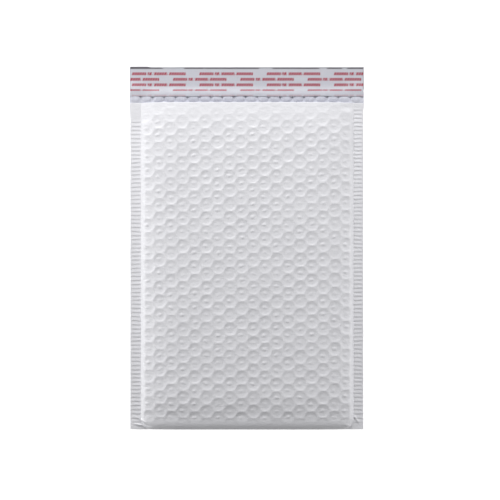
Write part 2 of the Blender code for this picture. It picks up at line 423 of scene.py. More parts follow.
# %% Front panel
SEAL_THICKNESS = 0.0006
FRONT_REACH = 0.0008
FAINT_FROM = 0.0240
FAINT_TO = 0.006
FAINT_SHARE = 0.35
RIM_FROM = 0.004
RIM_TO = 0.001
TAUT_SIDE = (0.0012, 0.0050)
TAUT_FOLD = (0.006, 0.014)
EDGE = 0.001
CREASE_FADE = 0.002
SWELL_HEIGHT = 0.00025
SWELL_LENGTH = 0.06
SWELL_SIDE = (0.002, 0.02)
SWELL_FOLD = (0.004, 0.02)
SWELL_SEED = 3
FRONT_SEED = 11


def dish_strength(v, inwards):
    """How far the dishes have formed, from 0 to 1."""
    mouth = 1 - (1 - FAINT_SHARE) * ramp(v, MOUTH - FAINT_FROM, MOUTH - FAINT_TO)
    rim = 1 - ramp(v, MOUTH - RIM_FROM, MOUTH - RIM_TO)
    return mouth * rim * ramp(inwards, *TAUT_SIDE) * ramp(v, *TAUT_FOLD)


def crease(x, v, start, end, width, height):
    """Ridge along a straight line that fades out at its ends."""
    run = np.array(end) - np.array(start)
    length = np.hypot(*run)
    along = ((x - start[0]) * run[0] + (v - start[1]) * run[1]) / length
    beside = ((x - start[0]) * run[1] - (v - start[1]) * run[0]) / length
    return height * np.exp(-(beside / width) ** 2) * hump(np.abs(2 * along / length - 1))


CREASES = (
    ((-0.1060, 0.0130), (-0.0900, 0.0045), 0.0008, 0.0011),
    ((-0.1085, 0.0060), (-0.0920, 0.0024), 0.0008, 0.0010),
    ((-0.0980, 0.0035), (-0.0840, 0.0010), 0.0008, 0.0008),
    ((0.0970, 0.0160), (0.1065, 0.0030), 0.0010, 0.0007),
    ((0.0880, 0.0060), (0.1000, 0.0015), 0.0010, 0.0006),
)


def corner_creases(x, v):
    """The pulled film at the two bottom corners."""
    return sum(crease(x, v, start, end, width, height) for start, end, width, height in CREASES)


def front_place(share_across, share_along):
    """Where the front panel's points lie."""
    v = along_fold(share_along, PANEL_ROWS, MOUTH + FRONT_REACH)
    x, inwards = across_body(share_across, v)
    z = front_height(x, v, inwards) + SEAL_THICKNESS / 2 * ramp(v, 0, EDGE) * ramp(-inwards, -EDGE, 0)
    z = z + honeycomb(x, FOLD_Y + v, FRONT_SEED) * dish_strength(v, inwards)
    swell = SWELL_HEIGHT * waves(x, v, SWELL_LENGTH, SWELL_SEED)
    z = z + swell * ramp(inwards, *SWELL_SIDE) * ramp(v, *SWELL_FOLD)
    z = z + corner_creases(x, v) * ramp(v, 0.0, CREASE_FADE)
    return x, FOLD_Y + v, z


front_panel = shape_sheet("front_panel", PANEL_COLUMNS, PANEL_ROWS, front_place)

# %% [markdown]
# The front film ends at the mouth in a cut edge. Extruding the last row of edges down and back gives
# that edge a thickness, which shows from low angles.

# %% Rim of the mouth
RIM_DROP = 0.0004
RIM_BACK = 0.0030
ON_LINE = 1e-6


def add_rim(piece, y, drop, back):
    """Turn the edge of a sheet that lies at y down, and back under itself."""
    bm = bmesh.new()
    bm.from_mesh(piece.data)
    rim = [edge for edge in bm.edges if edge.is_boundary]
    edges = [edge for edge in rim if all(abs(vert.co.y - y) < ON_LINE for vert in edge.verts)]
    for move in ((0, 0, drop), (0, back, 0)):
        made = bmesh.ops.extrude_edge_only(bm, edges=edges)["geom"]
        verts = [item for item in made if isinstance(item, bmesh.types.BMVert)]
        edges = [item for item in made if isinstance(item, bmesh.types.BMEdge)]
        bmesh.ops.translate(bm, verts=verts, vec=move)
    bm.to_mesh(piece.data)
    bm.free()
    piece.data.shade_smooth()


add_rim(front_panel, FOLD_Y + MOUTH + FRONT_REACH, -RIM_DROP, -RIM_BACK)

# %% [markdown]
# The back lies on the table. Its film has like dishes, sunk upwards, and it goes on past the mouth
# under the lining's free end.


# %% Back panel
BACK_SEED = 12
BACK_SIDE = (0.0015, 0.0085)
BACK_FOLD = (0.002, 0.009)
BACK_FADE = 0.006


def back_place(share_across, share_along):
    """Where the back panel's points lie."""
    v = along_fold(share_along, PANEL_ROWS, LIP)
    x, inwards = across_body(share_across, v)
    z = back_height(x, v, inwards) - SEAL_THICKNESS / 2 * ramp(v, 0, EDGE) * ramp(-inwards, -EDGE, 0)
    strength = ramp(inwards, *BACK_SIDE) * ramp(v, *BACK_FOLD) * (1 - ramp(v, LIP - BACK_FADE, LIP))
    z = z - honeycomb(x, FOLD_Y + v, BACK_SEED) * strength
    return x, FOLD_Y + v, z


back_panel = shape_sheet("back_panel", PANEL_COLUMNS, PANEL_ROWS, back_place, downwards=True)

# %% [markdown]
# ## Side seals
#
# A hot bar with cross teeth presses front and back into one strip. The teeth leave low ribs, on both
# faces because the strip is thin. The ribs aren't quite straight or even, so their phase wanders a
# little. The bar stopped short of the mouth, on the left more than on the right, and there the film is
# smooth.

# %% Ribbed seals
RIB_PITCH = 0.00377
RIB_HEIGHT = 0.00048
RIB_LEAN = 0.45
RIB_TILT = 9
RIB_WANDER = ((0.16, 0.045), (0.07, 0.011))
TILT_LENGTH = 0.05
STRENGTH_LENGTH = 0.02
STRENGTH_SPREAD = 0.2
SEAL_COLUMNS = 14
SEAL_STEP = 0.00045
SEAL_OVERLAP = 0.0012
SEAL_WAVE = 0.00012
SEAL_WAVE_LENGTH = 0.03
BAR_INNER = 0.0006
BAR_OUTER = (0.0018, 0.0010)
BAR_FOLD = (0.003, 0.009)
LEFT_SEED = 21
RIGHT_SEED = 31


def ribs(x, v, seed):
    """Height of the pressed ribs."""
    (long_size, long_wave), (short_size, short_wave) = RIB_WANDER
    wander = long_size * waves(x, v, long_wave, seed) + short_size * waves(x, v, short_wave, seed + 1)
    tilt = RIB_TILT * (np.abs(x) - HALF) * waves(0 * x, v, TILT_LENGTH, seed + 2)
    turn = 2 * math.pi * (v / RIB_PITCH + wander + tilt)
    strength = 1 - STRENGTH_SPREAD + STRENGTH_SPREAD * waves(x, v, STRENGTH_LENGTH, seed + 3)
    return 0.5 * RIB_HEIGHT * strength * np.cos(turn + RIB_LEAN * np.cos(turn))


def add_seal(name, side, ribs_end, seed):
    """One side of the film, closed all round: ribbed where sealed, and smooth from there to the mouth."""
    inner = HALF - SEAL_OVERLAP
    end = MOUTH + FRONT_REACH
    rows = round(end / SEAL_STEP)

    def place(share_across, share_along):
        v = share_along * end
        outer = BODY_HALF + (FLAP_HALF - BODY_HALF) * ramp(v, ribs_end, MOUTH)
        x = inner + (outer - inner) * (share_across if side > 0 else 1 - share_across)
        wavy = SEAL_WAVE * waves(0 * v, v, SEAL_WAVE_LENGTH, seed) * ramp(x, HALF, BODY_HALF)
        outer_start, outer_end = BAR_OUTER
        pressed = ramp(x, inner, HALF + BAR_INNER)
        pressed = pressed * (1 - ramp(x, BODY_HALF - outer_start, BODY_HALF - outer_end))
        pressed = pressed * ramp(v, *BAR_FOLD) * (1 - ramp(v, ribs_end - RIBS_FADE, ribs_end))
        z = SEAL_HEIGHT + SEAL_THICKNESS / 2 + ribs(x, v, seed) * pressed
        z = z + corner_creases(side * x, v) * ramp(v, 0, CREASE_FADE)
        return side * (x + wavy), FOLD_Y + v, z

    return shape_sheet(name, SEAL_COLUMNS, rows, place, thickness=SEAL_THICKNESS)


seal_left = add_seal("seal_left", -1, LEFT_SEAL_END, LEFT_SEED)
seal_right = add_seal("seal_right", 1, RIGHT_SEAL_END, RIGHT_SEED)

# %% [markdown]
# ## Bubble lining
#
# Inside the film lies a web of clear bubble film, folded with it. It shows at the mouth: its back half
# reaches 11 mm further, over the whole width, and ends in a row of bubbles. Inside, each half is a sheet
# with low domes that point into the pocket. Rows are closer together near the mouth, where they can be
# seen.

# %% Bubbles of the lining
DOME_FIRST_X = -0.1037
DOME_HEIGHT = 0.0012
DOME_WIDE = 0.0050
DOME_LONG = 0.0044
DOME_ROW = 0.0102
DOME_SQUARE = 3.0
DOME_ROUND = 0.7
LIP_MIDDLE = LIP - 0.0050
MOUTH_RISE = 0.0007
LINING_COLUMNS = 250
NEAR_ROWS = 64
DEEP_ROWS = 90
NEAR_LENGTH = 0.0420
LIP_END = 0.0010
UNDER_FRONT = 0.0007
HALVES_APART = 0.0005
SIDE_APART = 0.0011
ON_FILM = 0.0002
FADE_LENGTH = 0.0120
ON_FILM_REACH = 0.003
DOME_SIZES = (0.85, 1.0)
LIP_SIDE = 0.0020
LIP_LOW = 0.0009
LIP_WAVE = 0.00015
LIP_WAVE_LENGTH = 0.02
LIP_WAVE_SEED = 42
MOUTH_RISE_RAMP = (-0.0005, 0.0030)
LINING_EDGE = 0.0003
WIDEN_FROM = 0.0105
WIDEN_TO = 0.0035
RISE_FROM = 0.010
RISE_TO = 0.003
DOME_SIDE = 0.006
RIM_ROOM_FROM = 0.005
RIM_ROOM_TO = 0.002
LINING_RIM_BACK = 0.0006
BACK_DOMES_SEED = 41
FRONT_DOMES_SEED = 43


def bubbles(x, v, seed):
    """Height of the bubbles above the web, from 0 to 1, in rows that count from the lip."""
    random = np.random.default_rng(seed)
    table = (MANY, MANY)
    row = np.round((LIP_MIDDLE - v) / DOME_ROW).astype(int)
    total = 0
    for step in (-1, 0, 1):
        line = row + step
        shift = np.where(line % 2, COLUMN / 2, 0)
        column = np.round((x - DOME_FIRST_X - shift) / COLUMN).astype(int)
        size = random.uniform(*DOME_SIZES, table)[column % MANY, line % MANY]
        across = x - DOME_FIRST_X - shift - column * COLUMN
        along = LIP_MIDDLE - line * DOME_ROW - v
        out = np.abs(across / DOME_WIDE) ** DOME_SQUARE + np.abs(along / DOME_LONG) ** DOME_SQUARE
        total = np.maximum(total, size * np.clip(1 - out, 0, 1) ** DOME_ROUND)
    return total


def lining_rows(share_along, end):
    """Distance from the fold, with short steps near the mouth."""
    row = share_along * (DEEP_ROWS + NEAR_ROWS)
    near = end - NEAR_LENGTH
    deep = LINING_OUT + (near - LINING_OUT) * np.clip(row / DEEP_ROWS, 0, 1)
    return deep + NEAR_LENGTH * np.clip((row - DEEP_ROWS) / NEAR_ROWS, 0, 1)


def above_film(x, v):
    """The lining's least height: between the films in the seals, and on the flap's film past the mouth."""
    sealed = SEAL_HEIGHT - SEAL_THICKNESS / 2
    level = sealed + (SEAL_HEIGHT + ON_FILM - sealed) * ramp(v, MOUTH, MOUTH + ON_FILM_REACH)
    fade = 1 - np.clip((v - LIP) / FADE_LENGTH, 0, 1)
    return level * (1 - rise(HALF - np.abs(x), BACK_SHOULDER)) * fade


def lip_height(x, v):
    """Upper face of the lining's back half."""
    web = LINING_IN - DOME_HEIGHT
    side = 1 - ramp(np.abs(x), FLAP_HALF - LIP_SIDE, FLAP_HALF)
    end = 1 - ramp(v, LIP - LIP_END, LIP)
    wavy = LIP_WAVE * waves(x, v, LIP_WAVE_LENGTH, LIP_WAVE_SEED)
    top = web + DOME_HEIGHT * bubbles(x, v, BACK_DOMES_SEED) + wavy
    top = top + MOUTH_RISE * (1 - ramp(v - MOUTH, *MOUTH_RISE_RAMP))
    return np.maximum(LIP_LOW + (top - LIP_LOW) * side * end, above_film(x, v))


def lining_half_width(v):
    """The lining ends in the seals, and fills the flap's width past the mouth."""
    inside = HALF - LINING_IN
    widened = ramp(v, MOUTH - WIDEN_FROM, MOUTH - WIDEN_TO)
    return inside + (FLAP_HALF - LINING_EDGE - inside) * widened


def under_front(x, v):
    """The most height that the lining may have under the front film."""
    return front_height(x, v, distance_in(x) - SIDE_APART) - UNDER_FRONT


def lining_back_place(share_across, share_along):
    """Where the points of the lining's back half lie."""
    v = lining_rows(share_along, LIP)
    half = lining_half_width(v)
    x = half * (2 * share_across - 1)
    inside = back_height(x, v, half + LINING_IN - np.abs(x), LINING_IN)
    domes = DOME_HEIGHT * (bubbles(x, v, BACK_DOMES_SEED) - 1) * ramp(half - np.abs(x), 0, DOME_SIDE)
    out = ramp(v, MOUTH - RISE_FROM, MOUTH - RISE_TO)
    z = (inside + domes) * (1 - out) + lip_height(x, v) * out
    covered = v < MOUTH + FRONT_REACH
    z = np.where(covered, np.minimum(z, under_front(x, v) - HALVES_APART), z)
    return x, FOLD_Y + v, np.maximum(z, above_film(x, v))


def lining_front_place(share_across, share_along):
    """Where the points of the lining's front half lie."""
    v = lining_rows(share_along, MOUTH - LINING_EDGE)
    half = HALF - LINING_IN
    x = half * (2 * share_across - 1)
    inside = front_height(x, v, half + LINING_IN - np.abs(x), LINING_IN)
    domes = DOME_HEIGHT * (1 - bubbles(x, v, FRONT_DOMES_SEED)) * ramp(half - np.abs(x), 0, DOME_SIDE)
    rim = (LINING_IN - LINING_OUT) * ramp(v, MOUTH - RIM_ROOM_FROM, MOUTH - RIM_ROOM_TO)
    return x, FOLD_Y + v, np.minimum(inside + domes, under_front(x, v) - rim)


lining_back = shape_sheet("lining_back", LINING_COLUMNS, DEEP_ROWS + NEAR_ROWS, lining_back_place)
lining_front = shape_sheet("lining_front", LINING_COLUMNS, DEEP_ROWS + NEAR_ROWS, lining_front_place,
                           downwards=True)
add_rim(lining_front, FOLD_Y + MOUTH - LINING_EDGE, LINING_IN - LINING_OUT, -LINING_RIM_BACK)

# %% [markdown]
# ## The flap
#
# Past the lining's end the film lies alone, grey on its inner face and white on its outer one. It is a
# thin closed sheet, held up a little at both sides by the seals. Its own attribute tells the material
# which face is the inner one.

# %% Flap film
FLAP_THICKNESS = 0.00025
FLAP_UNDER = 0.0060
FLAP_COLUMNS = 220
FLAP_ROWS = 40
TUCKED = 0.0004
SHOULDER = (-0.002, 0.004)
EDGE_WAVE = 0.00015
EDGE_WAVE_LENGTH = 0.05
EDGE_WAVE_SEED = 51
FLAP_WAVE = 0.00012
FLAP_WAVE_LENGTH = 0.03
FLAP_WAVE_SEED = 52


def web_lift(x, v):
    """Height of the flap's film above the table beside the mouth."""
    side = rise(HALF - np.abs(x), BACK_SHOULDER)
    fade = 1 - np.clip((v - LIP) / FADE_LENGTH, 0, 1)
    return (SEAL_HEIGHT - FLAP_THICKNESS / 2) * (1 - side) * fade


def flap_place(share_across, share_along):
    """Where the flap film's upper face lies."""
    v = LIP - FLAP_UNDER + (TOP - LIP + FLAP_UNDER) * share_along
    half = BODY_HALF - TUCKED + (FLAP_HALF - BODY_HALF + TUCKED) * ramp(v - LIP, *SHOULDER)
    x = half * (2 * share_across - 1)
    y = FOLD_Y + v + EDGE_WAVE * waves(x, 0 * x, EDGE_WAVE_LENGTH, EDGE_WAVE_SEED) * share_along
    wavy = FLAP_WAVE * (1 + waves(x, v, FLAP_WAVE_LENGTH, FLAP_WAVE_SEED)) * ramp(v, LIP, TOP)
    z = web_lift(x, v) + FLAP_THICKNESS + wavy
    return x, y, z


flap_film = shape_sheet("flap_film", FLAP_COLUMNS, FLAP_ROWS, flap_place, thickness=FLAP_THICKNESS)

# %% [markdown]
# ## Release liner
#
# The liner is a strip of thin siliconed film on the glue. Its lower part isn't stuck: it climbs over the
# end of the lining and rests on the bubbles. A UV map in metres, x across and the length along the sheet
# down from its top edge, keeps the printed rows on it evenly spaced where it climbs.

# %% Liner sheet with its own map
LINER_THICKNESS = 0.00012
LINER_LEVEL = 0.0013
LINER_HALF = liner_high.x
LINER_TOP = liner_high.y - FOLD_Y
LINER_LOW = liner_low.y - FOLD_Y
LINER_COLUMNS = 320
LINER_ROWS = 64
CLIMB_START = 0.0072
CLIMB_END = -0.0034
NICK_PLACE = -0.0913
NICK_HEIGHT = 0.0012
NICK_WIDE = 0.0015
SLACK_WAVES = ((0.00018, 0.035, 61), (0.00006, 0.008, 62))
RIPPLE = (0.00015, 0.012, 64)
LOW_EDGE = (0.0004, 0.04, 63)
TOP_EDGE = (0.0002, 0.05, 65)
OVER_WEB = 0.0011
OVER_BUBBLES = 0.0002
PROFILE_POINTS = 400
PROFILE_MARGIN = 0.001


def waved(x, v, wave):
    """Waves of a height, a length and a seed."""
    height, length, seed = wave
    return height * waves(x, v, length, seed)


def liner_height(x, v):
    """Upper face of the liner."""
    climb = 1 - ramp(v - LIP, CLIMB_END, CLIMB_START)
    slack = sum(waved(x, v, wave) for wave in SLACK_WAVES)
    low = np.maximum(LINER_LEVEL, web_lift(x, v) + OVER_WEB) + LINER_THICKNESS + slack
    taut = low + (LINING_IN - low) * climb
    return np.maximum(taut, lip_height(x, v) + OVER_BUBBLES) + waved(x, v, RIPPLE) * climb


def liner_place(share_across, share_along):
    """Where the liner's upper face lies."""
    x = LINER_HALF * (2 * share_across - 1)
    low = LINER_LOW + waved(x, 0 * x, LOW_EDGE)
    high = LINER_TOP + waved(x, 0 * x, TOP_EDGE) + NICK_HEIGHT * hump((x - NICK_PLACE) / NICK_WIDE)
    v = low + (high - low) * share_along
    return x, FOLD_Y + v, liner_height(x, v)


def add_sheet_map(piece, top):
    """UV map in metres: x, and the length along the sheet from its top edge at x = 0."""
    profile = np.linspace(LINER_LOW - PROFILE_MARGIN, top, PROFILE_POINTS)
    heights = liner_height(np.zeros_like(profile), profile)
    lengths = np.concatenate(([0], np.cumsum(np.hypot(np.diff(profile), np.diff(heights)))))
    points = points_of(piece.data)
    down = lengths[-1] - np.interp(points[:, 1] - FOLD_Y, profile, lengths)
    corners = np.empty(len(piece.data.loops), int)
    piece.data.loops.foreach_get("vertex_index", corners)
    layer = piece.data.uv_layers.new(name="sheet")
    layer.uv.foreach_set("vector", np.column_stack((points[corners, 0], down[corners])).ravel())
    return lengths[-1]


liner_sheet = shape_sheet("liner_sheet", LINER_COLUMNS, LINER_ROWS, liner_place, thickness=LINER_THICKNESS)
LINER_LENGTH = add_sheet_map(liner_sheet, LINER_TOP)
print("liner, mm along the sheet:", round(1000 * LINER_LENGTH, 1))

# %% [markdown]
# ## Shader maths
#
# A finish is a formula too. `Socket` wraps an output socket, so that `a * 2 + b` adds Math nodes, and
# `Finish.node` adds any other node from its type, its settings and its inputs.


# %% Sockets that add up
class Socket:
    """A value in a finish. Arithmetic on it adds Math nodes."""

    def __init__(self, finish, output):
        self.finish = finish
        self.output = output

    def math(self, operation, *values):
        inputs = dict(enumerate(values))
        return self.finish.node("ShaderNodeMath", {"operation": operation}, inputs)

    def __add__(self, other):
        return self.math("ADD", self, other)

    def __radd__(self, other):
        return self.math("ADD", other, self)

    def __sub__(self, other):
        return self.math("SUBTRACT", self, other)

    def __rsub__(self, other):
        return self.math("SUBTRACT", other, self)

    def __mul__(self, other):
        return self.math("MULTIPLY", self, other)

    def __rmul__(self, other):
        return self.math("MULTIPLY", other, self)

    def __truediv__(self, other):
        return self.math("DIVIDE", self, other)

    def __mod__(self, other):
        return self.math("FLOORED_MODULO", self, other)

    def __gt__(self, other):
        return self.math("GREATER_THAN", self, other)

    def __lt__(self, other):
        return self.math("LESS_THAN", self, other)


class Finish:
    """A material with its Principled BSDF, whose inputs are numbers, colours or sockets."""

    def __init__(self, name, **inputs):
        self.material = bpy.data.materials.new(name)
        self.material.use_nodes = True
        self.tree = self.material.node_tree
        self.shader = self.tree.nodes["Principled BSDF"]
        self.set(self.shader, inputs)

    def set(self, node, inputs):
        """Give a node's inputs their values or links."""
        for name, value in inputs.items():
            if isinstance(value, Socket):
                self.tree.links.new(value.output, node.inputs[name])
            elif isinstance(value, tuple) and len(value) == 3 and node.inputs[name].type == "RGBA":
                node.inputs[name].default_value = (*value, 1)
            else:
                node.inputs[name].default_value = value

    def node(self, kind, settings=None, inputs=None, output=0):
        """Add a node and return one of its outputs."""
        node = self.tree.nodes.new(kind)
        for name, value in (settings or {}).items():
            if name == "stops":
                for number, (position, colour) in enumerate(value):
                    if number > 1:
                        node.color_ramp.elements.new(position)
                    node.color_ramp.elements[number].position = position
                    node.color_ramp.elements[number].color = (*colour, 1)
            else:
                setattr(node, name, value)
        self.set(node, inputs or {})
        return Socket(self, node.outputs[output])

    def place(self):
        """Object coordinates, in metres."""
        return self.node("ShaderNodeTexCoord", output="Object")

    def noise(self, where, size, detail=2.0, roughness=0.5, distortion=0.0):
        """Noise with features of about a size in metres."""
        inputs = {"Vector": where, "Scale": 1 / size, "Detail": detail, "Roughness": roughness,
                  "Distortion": distortion}
        return self.node("ShaderNodeTexNoise", {}, inputs, "Fac")

    def blend(self, share, first, second):
        """Mix two colours."""
        inputs = {"Factor": share, "A": first, "B": second}
        node = self.tree.nodes.new("ShaderNodeMix")
        node.data_type = "RGBA"
        for name, value in inputs.items():
            socket = next(item for item in node.inputs if item.name == name and item.enabled)
            if isinstance(value, Socket):
                self.tree.links.new(value.output, socket)
            else:
                socket.default_value = (*value, 1) if isinstance(value, tuple) else value
        return Socket(self, next(item for item in node.outputs if item.enabled))

    def relief(self, height, distance, strength=1.0):
        """A Bump node for the fine relief that the mesh doesn't hold."""
        inputs = {"Height": height, "Distance": distance, "Strength": strength}
        return self.node("ShaderNodeBump", {}, inputs, "Normal")

    def use(self, **inputs):
        """Link what changes over the surface to the Principled BSDF."""
        names = {name.replace("_", " "): value for name, value in inputs.items()}
        self.set(self.shader, names)


# %% [markdown]
# ## Pearl film
#
# Pearl film is white film foamed with fine voids. It looks soft, with a dull sheen that breaks up in a
# fine grain. So the base is nearly white and a little mottled, the roughness wanders, and a low bump
# carries the grain and short stretch marks.

# %% Pearl film
PEARL = (0.83, 0.83, 0.86)
PEARL_DIM = (0.79, 0.79, 0.825)
FILM_GLOSS = {"Specular IOR Level": 0.45, "Coat Roughness": 0.25, "Coat Weight": 0.12}
PEARL_CLOUD = 0.018
PEARL_GRAIN = 0.0011
FILM_FINE = 0.004
STREAK_STRETCH = (0.45, 1, 1)
STREAK_SIZE = 0.0018
GRAIN_SHARE = 0.3
STREAK_SHARE = 1.6
PEARL_ROUGHNESS = 0.36
FILM_ROUGHNESS_MORE = 0.16
PEARL_RELIEF = 0.00018


def pearl_film(name):
    """The outer face of the film."""
    finish = Finish(name, **FILM_GLOSS)
    where = finish.place()
    cloud = finish.noise(where, PEARL_CLOUD, detail=3)
    grain = finish.noise(where, PEARL_GRAIN, detail=3, roughness=0.6)
    fine = finish.noise(where, FILM_FINE, distortion=0.6)
    drawn = finish.node("ShaderNodeMapping", {}, {"Vector": where, "Scale": STREAK_STRETCH})
    streaks = finish.noise(drawn, STREAK_SIZE, distortion=0.4)
    colour = finish.blend(cloud, PEARL, PEARL_DIM)
    height = grain * GRAIN_SHARE + fine + streaks * STREAK_SHARE
    finish.use(Base_Color=colour, Roughness=PEARL_ROUGHNESS + FILM_ROUGHNESS_MORE * fine,
               Normal=finish.relief(height, PEARL_RELIEF, strength=0.9))
    return finish.material


def dress(piece, material, slot, *nodes):
    """Give a piece its material and hide the CAD nodes it stands for. The slot is not used."""
    piece.data.materials.clear()
    piece.data.materials.append(material)
    if nodes:
        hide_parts(*nodes)


pearl = pearl_film("pearl_film")
for piece in (front_panel, back_panel, seal_left, seal_right):
    dress(piece, pearl, "outer_film", "outer_film")

# %% [markdown]
# The flap's inner face is grey. The mesh's own faces tell: those that look up are inner.

# %% Two faced flap film
GREY = (0.105, 0.100, 0.112)
SHEEN_GREY = (0.30, 0.29, 0.31)
CURLED_GREY = (0.55, 0.55, 0.58)
CURL = 0.0010
FLAP_CLOUD = 0.012
PATCH_SIZE = 0.028
PATCH_FROM = 0.55
PATCH_TO = 0.68
FLAP_ROUGHNESS = 0.34
FLAP_RELIEF = 0.00012


def flap_film_finish():
    """White outside, grey inside with patches of painted sheen."""
    finish = Finish("flap_film", **FILM_GLOSS)
    where = finish.place()
    inner = finish.node("ShaderNodeAttribute", {"attribute_name": "inner_face"}, {}, "Fac")
    cloud = finish.noise(where, FLAP_CLOUD, detail=3)
    fine = finish.noise(where, FILM_FINE, distortion=0.6)
    across = finish.node("ShaderNodeSeparateXYZ", {}, {0: where}, "X")
    upwards = finish.node("ShaderNodeSeparateXYZ", {}, {0: where}, "Y")
    beside = across.math("ABSOLUTE", across) > FLAP_HALF - CURL
    curled = beside.math("MAXIMUM", beside, upwards > film_high.y - CURL)
    # Patches of painted sheen lighten the grey inner face.
    patches = finish.noise(where, PATCH_SIZE, detail=1)
    limits = {"Value": patches, "From Min": PATCH_FROM, "From Max": PATCH_TO}
    painted_sheen = finish.node("ShaderNodeMapRange", {}, limits, "Result")
    white = finish.blend(cloud, PEARL, PEARL_DIM)
    grey = finish.blend(painted_sheen, GREY, SHEEN_GREY)
    inner_colour = finish.blend(curled, grey, CURLED_GREY)
    finish.use(Base_Color=finish.blend(inner, white, inner_colour),
               Roughness=FLAP_ROUGHNESS + FILM_ROUGHNESS_MORE * fine,
               Normal=finish.relief(fine, FLAP_RELIEF, strength=0.8))
    return finish.material


def mark_inner_face(piece):
    """Store on each corner whether its face looks up."""
    attribute = piece.data.attributes.new("inner_face", "FLOAT", "CORNER")
    normals = np.empty(len(piece.data.polygons) * 3)
    piece.data.polygons.foreach_get("normal", normals)
    sizes = np.empty(len(piece.data.polygons), int)
    piece.data.polygons.foreach_get("loop_total", sizes)
    upward = (normals.reshape(-1, 3)[:, 2] > 0).astype(np.float32)
    attribute.data.foreach_set("value", np.repeat(upward, sizes))


mark_inner_face(flap_film)
dress(flap_film, flap_film_finish(), "outer_film", "outer_film")

# %% [markdown]
# ## Bubble film
#
# The lining is clear film that looks blue grey against what lies under it, and it shines. A clear coat
# over a mottled base gives it the glints on the bubbles.

# %% Bubble film
BUBBLE_FILM = (0.82, 0.83, 0.91)
BUBBLE_DEEP = (0.59, 0.60, 0.69)
BUBBLE_GLOSS = {"Specular IOR Level": 0.6, "Coat Weight": 0.6, "Coat Roughness": 0.08}
BUBBLE_CLOUD = 0.006
BUBBLE_FINE = 0.0022
BUBBLE_ROUGHNESS = 0.16
BUBBLE_ROUGHNESS_MORE = 0.2
BUBBLE_RELIEF = 0.0004


def bubble_film():
    """Glossy blue grey film."""
    finish = Finish("bubble_film", **BUBBLE_GLOSS)
    where = finish.place()
    cloud = finish.noise(where, BUBBLE_CLOUD, detail=3, roughness=0.6, distortion=0.8)
    fine = finish.noise(where, BUBBLE_FINE, detail=3, roughness=0.6)
    finish.use(Base_Color=finish.blend(cloud, BUBBLE_FILM, BUBBLE_DEEP),
               Roughness=BUBBLE_ROUGHNESS + BUBBLE_ROUGHNESS_MORE * fine,
               Normal=finish.relief(cloud + 0.5 * fine, BUBBLE_RELIEF, strength=0.8))
    return finish.material


bubble_finish = bubble_film()
for piece in (lining_back, lining_front):
    dress(piece, bubble_finish, "bubble_lining", "bubble_lining")

# %% [markdown]
# ## Printed liner
#
# The liner is thin bluish film over the glue, with rows of small red marks. Each row is a line of plain
# slanted dashes in blocks, and every other row is shifted. The rows are worked out on the sheet's own
# map. Along its top edge the liner is dark grey, more so in patches.

# %% Liner film and its red dashes
LINER_BLUE = (0.52, 0.55, 0.61)
LINER_PALE = (0.59, 0.61, 0.665)
LINER_ROSE = (0.60, 0.555, 0.61)
INK = (0.36, 0.015, 0.045)
ROW_PITCH = 0.00515
FIRST_ROW = 0.0057
MARK_HEIGHT = 0.0027
TALL_ROWS = 2.5
LOWER_BY = 0.4
FULL_ROWS = 3.6
FAINT_INK = 0.3
GAP_INK = 0.25
WORN_INK = 0.75
WORN_MORE = 0.5
WORN_SIZE = 0.0012
DARK_TOP_WIDTH = 0.0013
DARK_TOP_GREY = (0.13, 0.125, 0.14)
REPEAT = 0.0627
ROW_STARTS = (-0.1068, -0.0687)
BLOCKS = (0.0000, 0.0131, 0.0145, 0.0188, 0.0202, 0.0329, 0.0343, 0.0498)
DASH_PITCH = 0.0023
DASH_SLANT = 0.45
DASH_FROM = 0.12
DASH_TO = 0.80
LINER_GLOSS = {"Specular IOR Level": 0.5, "Coat Weight": 0.2, "Coat Roughness": 0.15}
LINER_CLOUD = 0.010
LINER_TINT = 0.006
LINER_FINE = 0.003
ROSE_SHARE = 0.6
DARK_TOP_PATCH = 0.028
DARK_TOP_LIMIT = 0.56
DARK_TOP_LEAST = 0.35
DARK_TOP_MORE = 0.6
LINER_ROUGHNESS = 0.22
LINER_ROUGHNESS_MORE = 0.18
LINER_RELIEF = 0.0002


def within(value, low, high):
    """1 where a socket's value is between two numbers."""
    return (value > low) * (value < high)


